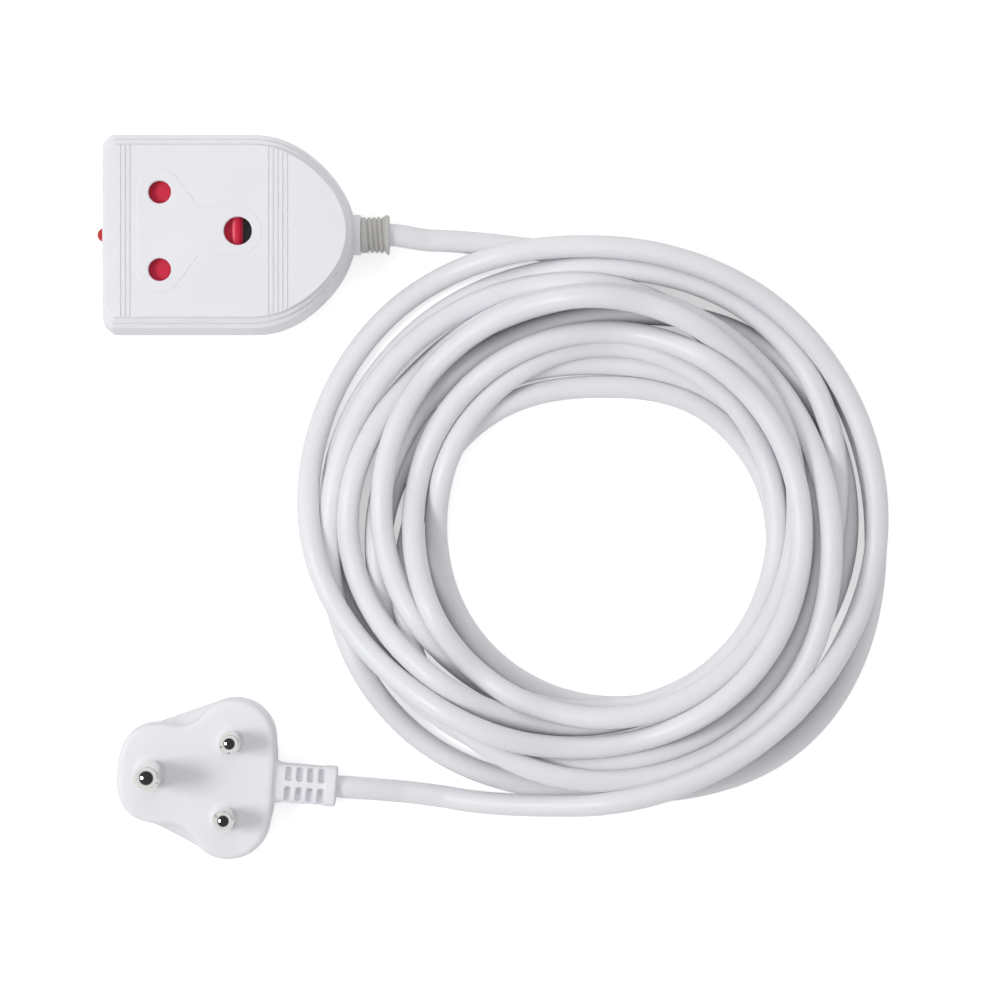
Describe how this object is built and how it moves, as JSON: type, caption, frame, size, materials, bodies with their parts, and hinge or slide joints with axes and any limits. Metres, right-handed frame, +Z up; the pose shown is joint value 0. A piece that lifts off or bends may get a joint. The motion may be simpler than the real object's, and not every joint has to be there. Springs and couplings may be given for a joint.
{
  "type": "extension cord",
  "caption": "Coiled round extension cord with a moulded round-pin plug on one end and a shuttered trailing socket with an indicator lamp on the other.",
  "frame": {"origin": "centre of the socket's flat back, on the floor plane", "axes": "+X from the socket's square end to its cable end, +Y across the socket away from the plug, +Z up and out of the socket's face"},
  "size_m": [0.2633, 0.2411, 0.0466],
  "materials": {
    "shell_white": "white moulded shell, fine satin grain",
    "plug_white": "white flexible moulding, satin",
    "cable_white": "white sheath, soft gloss",
    "sleeve_grey": "warm grey, matt",
    "shutter_red": "crimson, satin",
    "lens_red": "red translucent lens, gloss",
    "lamp_glass": "clear glass with a warm tint",
    "insulator": "off-white, matt",
    "brass": "plain rolled brass",
    "nickel": "bright nickel plate",
    "steel": "zinc-plated steel",
    "live_brown": "brown insulation",
    "neutral_blue": "blue insulation",
    "earth_green": "green and yellow insulation, drawn green"
  },
  "bodies": {
    "coil": {"cable_coil": "cable_white"},
    "plug": {"plug_lead": "cable_white", "plug_body": "plug_white", "live_pin": "nickel", "neutral_pin": "nickel", "earth_pin": "nickel", "pin_bridge": "insulator", "plug_live_wire": "live_brown", "plug_neutral_wire": "neutral_blue", "plug_earth_wire": "earth_green"},
    "socket": {"socket_lead": "cable_white", "socket_base": "shell_white", "socket_cover": "shell_white", "contact_carrier": "insulator", "live_contact": "brass", "neutral_contact": "brass", "earth_contact": "brass", "shutter_spring": "steel", "indicator_lens": "lens_red", "neon_lamp": "lamp_glass", "strain_relief_sleeve": "sleeve_grey", "cord_clamp": "insulator", "clamp_screw_upper": "steel", "clamp_screw_lower": "steel", "housing_screw_1": "steel", "housing_screw_2": "steel", "housing_screw_3": "steel", "housing_screw_4": "steel", "socket_live_wire": "live_brown", "socket_neutral_wire": "neutral_blue", "socket_earth_wire": "earth_green"},
    "shutter": {"shutter": "shutter_red"}
  },
  "joints": [
    {"name": "plug_lead_bend", "type": "hinge", "parent": "coil", "child": "plug", "pos_m": [0.07205, -0.18749, 0.00658], "axis": [0, 0, 1], "range_deg": [-15, 35]},
    {"name": "socket_lead_bend", "type": "hinge", "parent": "coil", "child": "socket", "pos_m": [0.06705, -0.00164, 0.0056], "axis": [0, 0, 1], "range_deg": [-35, 5]},
    {"name": "shutter_slide", "type": "slide", "parent": "socket", "child": "shutter", "axis": [-1, 0, 0], "range_m": [0, 0.008]}
  ]
}
